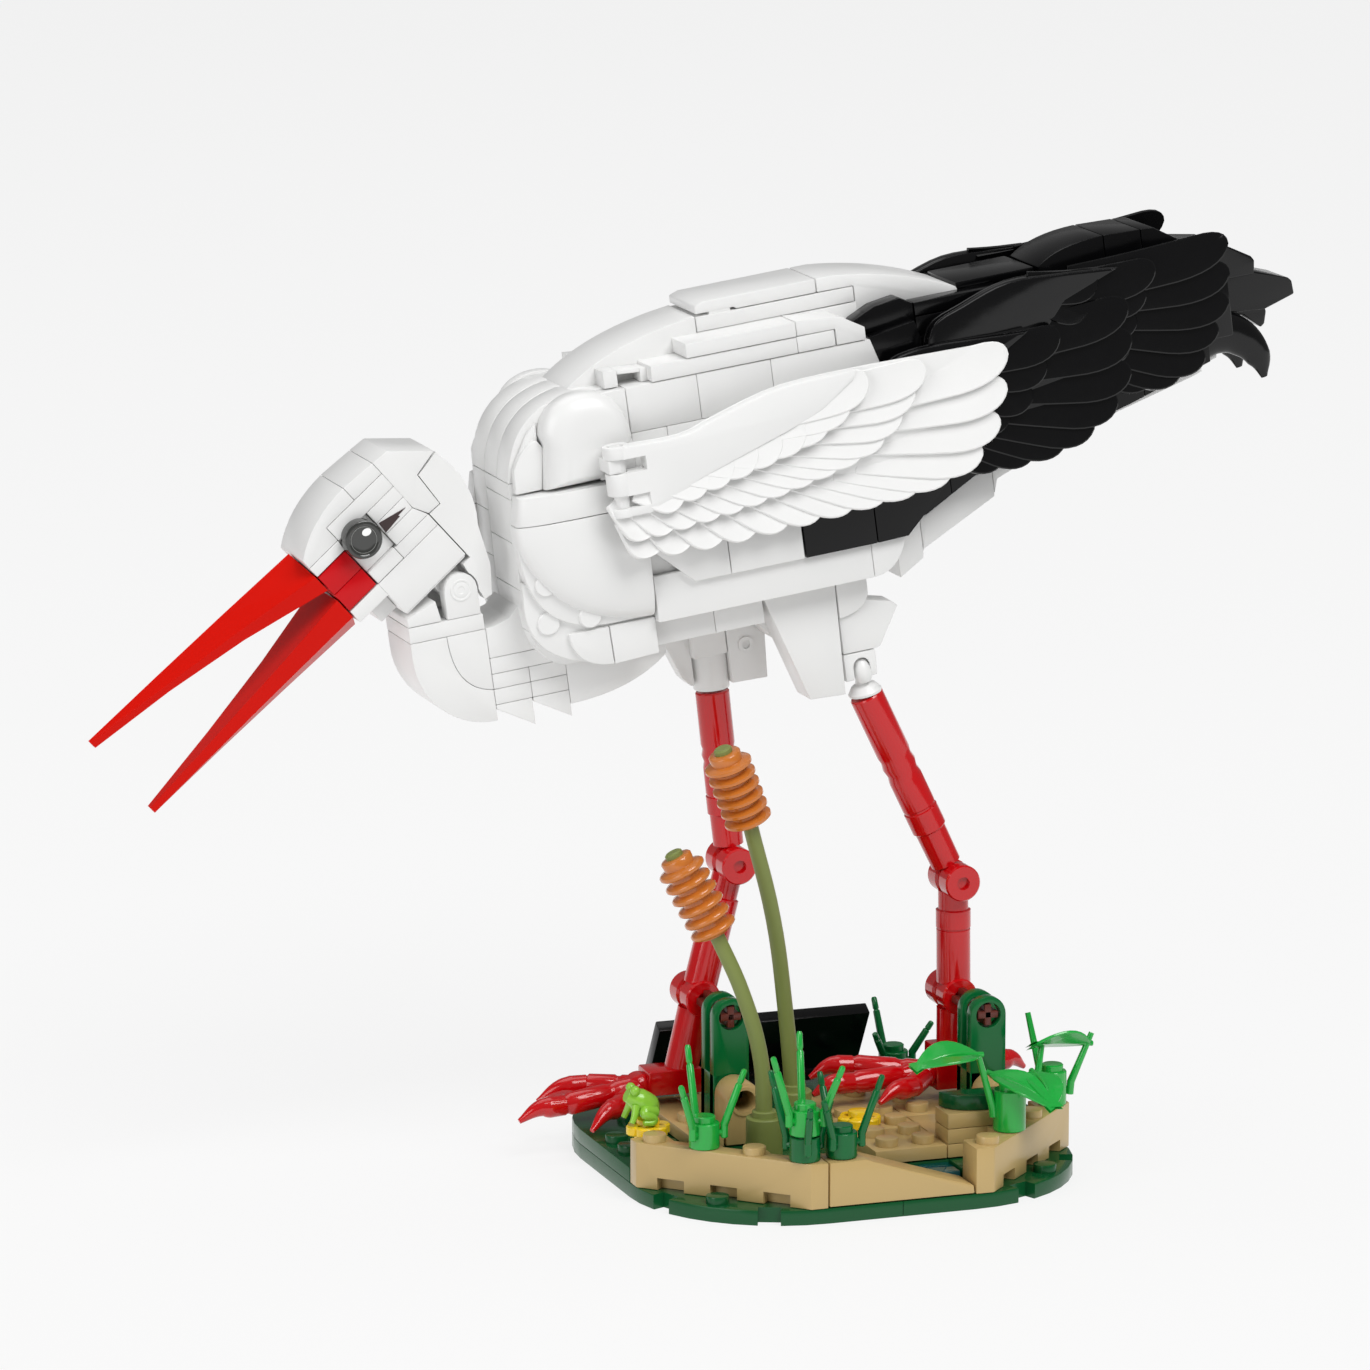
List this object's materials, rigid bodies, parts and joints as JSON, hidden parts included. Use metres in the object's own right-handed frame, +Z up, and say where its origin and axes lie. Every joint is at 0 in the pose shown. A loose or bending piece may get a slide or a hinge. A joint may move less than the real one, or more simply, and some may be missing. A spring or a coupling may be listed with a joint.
{
  "type": "brick-built toy stork on a landscape base",
  "caption": "Brick-built plastic model of a white stork stepping over a small marsh base with reeds, with clip-on wings and a head that tilts on a pin.",
  "frame": {"origin": "middle of the landscape base's underside, on the table", "axes": "+Z up; the bird faces -X, its near side (the one with the wing seen from the front) faces -Y"},
  "size_m": [0.2628, 0.0982, 0.1922],
  "materials": {
    "white": "glossy moulded plastic",
    "black": "glossy moulded plastic",
    "bill_red": "glossy moulded plastic",
    "leg_red": "high-gloss moulded plastic",
    "dark_green": "glossy moulded plastic",
    "support_green": "glossy moulded plastic",
    "bright_green": "glossy moulded plastic",
    "tan": "satin moulded plastic",
    "olive": "soft satin plastic",
    "cattail_orange": "glossy moulded plastic",
    "lime": "glossy moulded plastic",
    "yellow": "glossy moulded plastic",
    "teal": "smooth glossy plastic",
    "axle_brown": "satin moulded plastic",
    "eye": "printed gloss tile"
  },
  "bodies": {
    "stand_and_trunk": {"trunk": "white", "flank_near": "white", "flank_far": "white", "back": "white", "breast": "white", "breast_shell_near": "white", "breast_shell_far": "white", "shoulder_near": "white", "shoulder_far": "white", "neck": "white", "rump_white": "white", "hip_near": "white", "hip_far": "white", "plaque": "black", "flank_dark_near": "black", "flank_dark_far": "black", "wing_black_near": "black", "wing_black_far": "black", "rump_black": "black", "tail": "black", "leg_far_thigh": "leg_red", "leg_far_shin": "leg_red", "leg_far_foot": "leg_red", "leg_near_thigh": "leg_red", "leg_near_shin": "leg_red", "leg_near_foot": "leg_red", "base_green": "dark_green", "stems_dark": "dark_green", "stems_back": "dark_green", "support_left_beam": "support_green", "support_right_beam": "support_green", "stems_left": "bright_green", "stems_front": "bright_green", "leaves_front": "bright_green", "leaves_right": "bright_green", "rim_left": "tan", "rim_right": "tan", "rim_bank": "tan", "ground_left": "tan", "ground_right": "tan", "support_left_lug": "tan", "support_right_lug": "tan", "reed_feet": "olive", "reed_stem_low": "olive", "reed_stem_high": "olive", "cattail_low": "cattail_orange", "cattail_high": "cattail_orange", "frog": "lime", "flower_frog": "yellow", "pond": "teal", "support_left_axle": "axle_brown", "support_right_axle": "axle_brown"},
    "head": {"head": "white", "cheek": "bill_red", "eye_near": "eye", "eye_far": "eye", "beak_upper": "bill_red", "beak_lower": "bill_red"},
    "wing_near": {"wing_near": "white"},
    "wing_far": {"wing_far": "white"}
  },
  "joints": [
    {"name": "wing_near_fold", "type": "hinge", "parent": "stand_and_trunk", "child": "wing_near", "pos_m": [-0.04823, -0.0108, 0.14981], "axis": [0.134, 0, -0.991], "range_deg": [0, 60]},
    {"name": "wing_far_fold", "type": "hinge", "parent": "stand_and_trunk", "child": "wing_far", "pos_m": [-0.04823, 0.0348, 0.14981], "axis": [-0.134, 0, 0.991], "range_deg": [0, 60]},
    {"name": "head_tilt", "type": "hinge", "parent": "stand_and_trunk", "child": "head", "pos_m": [-0.07727, 0.012, 0.1258], "axis": [0, 1, 0], "range_deg": [0, 12]}
  ]
}
